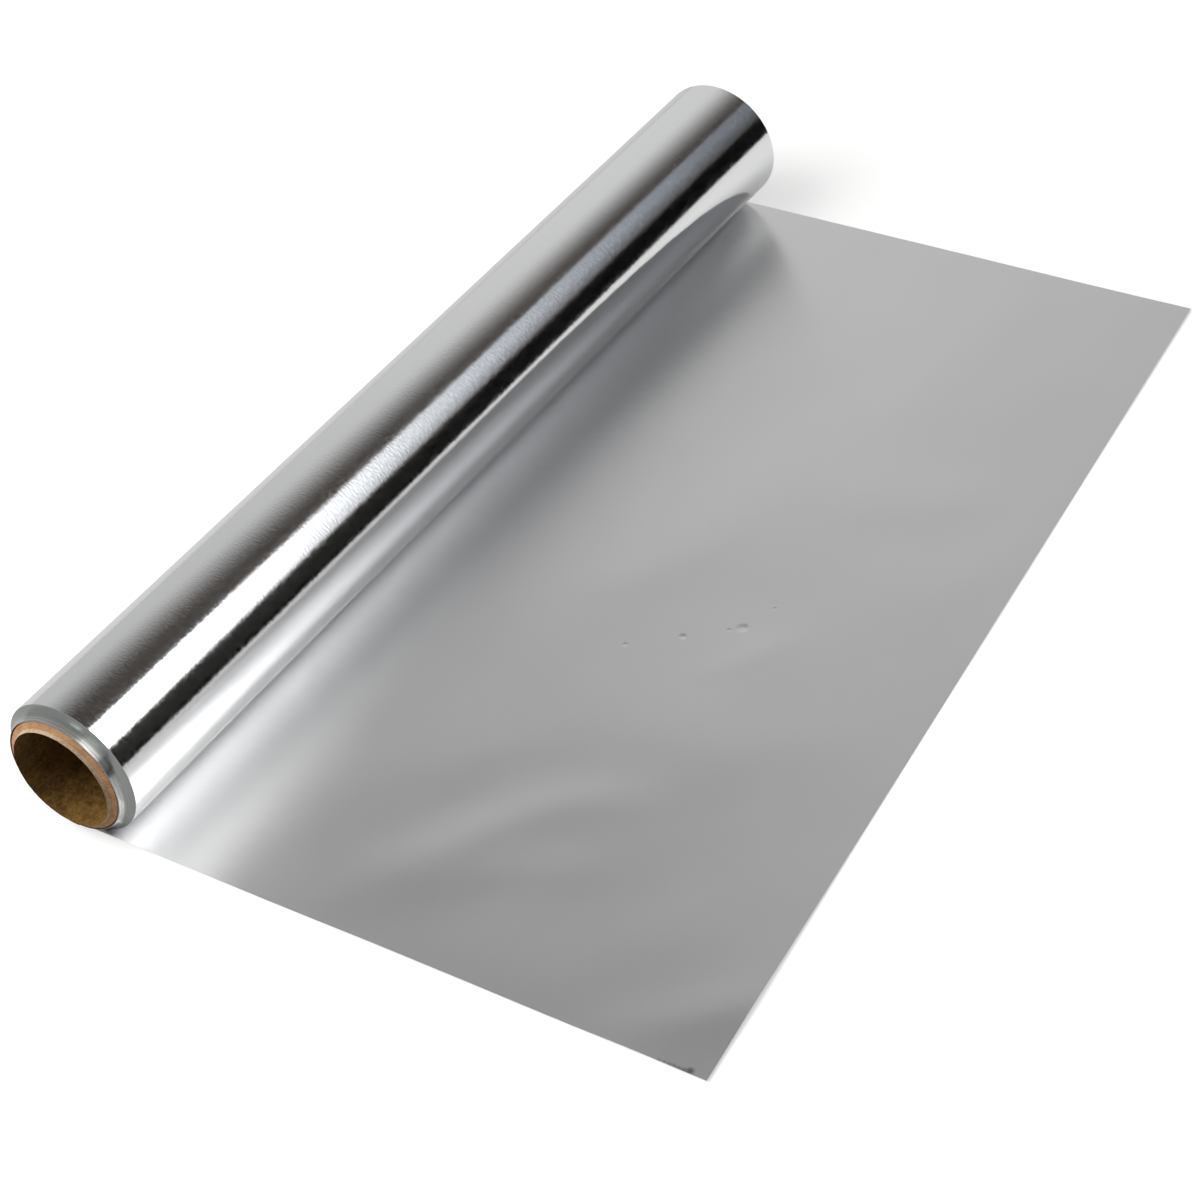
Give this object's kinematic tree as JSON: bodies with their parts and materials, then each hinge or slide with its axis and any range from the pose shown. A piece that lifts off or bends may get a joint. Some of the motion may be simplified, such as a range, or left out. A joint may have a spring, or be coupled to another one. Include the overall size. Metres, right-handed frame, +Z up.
{
  "type": "aluminium foil roll",
  "caption": "Roll of household aluminium foil on a paperboard core, with a torn-off length pulled out flat from under the roll.",
  "frame": {"origin": "on the table plane, straight under the roll's axis, halfway along the roll", "axes": "+Y along the roll's axis, away from the end whose core stands out; +X along the pulled-out sheet, away from the roll; +Z up"},
  "size_m": [0.1913, 0.3047, 0.0376],
  "materials": {
    "core_board": "uncoated spiral-wound paperboard, cut edge orange brown with a paler inner lip",
    "foil_metal": "bright rolled face outside, satin matte face on the pulled-out sheet's upper side"
  },
  "bodies": {
    "root": {"core": "core_board", "foil": "foil_metal"}
  },
  "joints": []
}
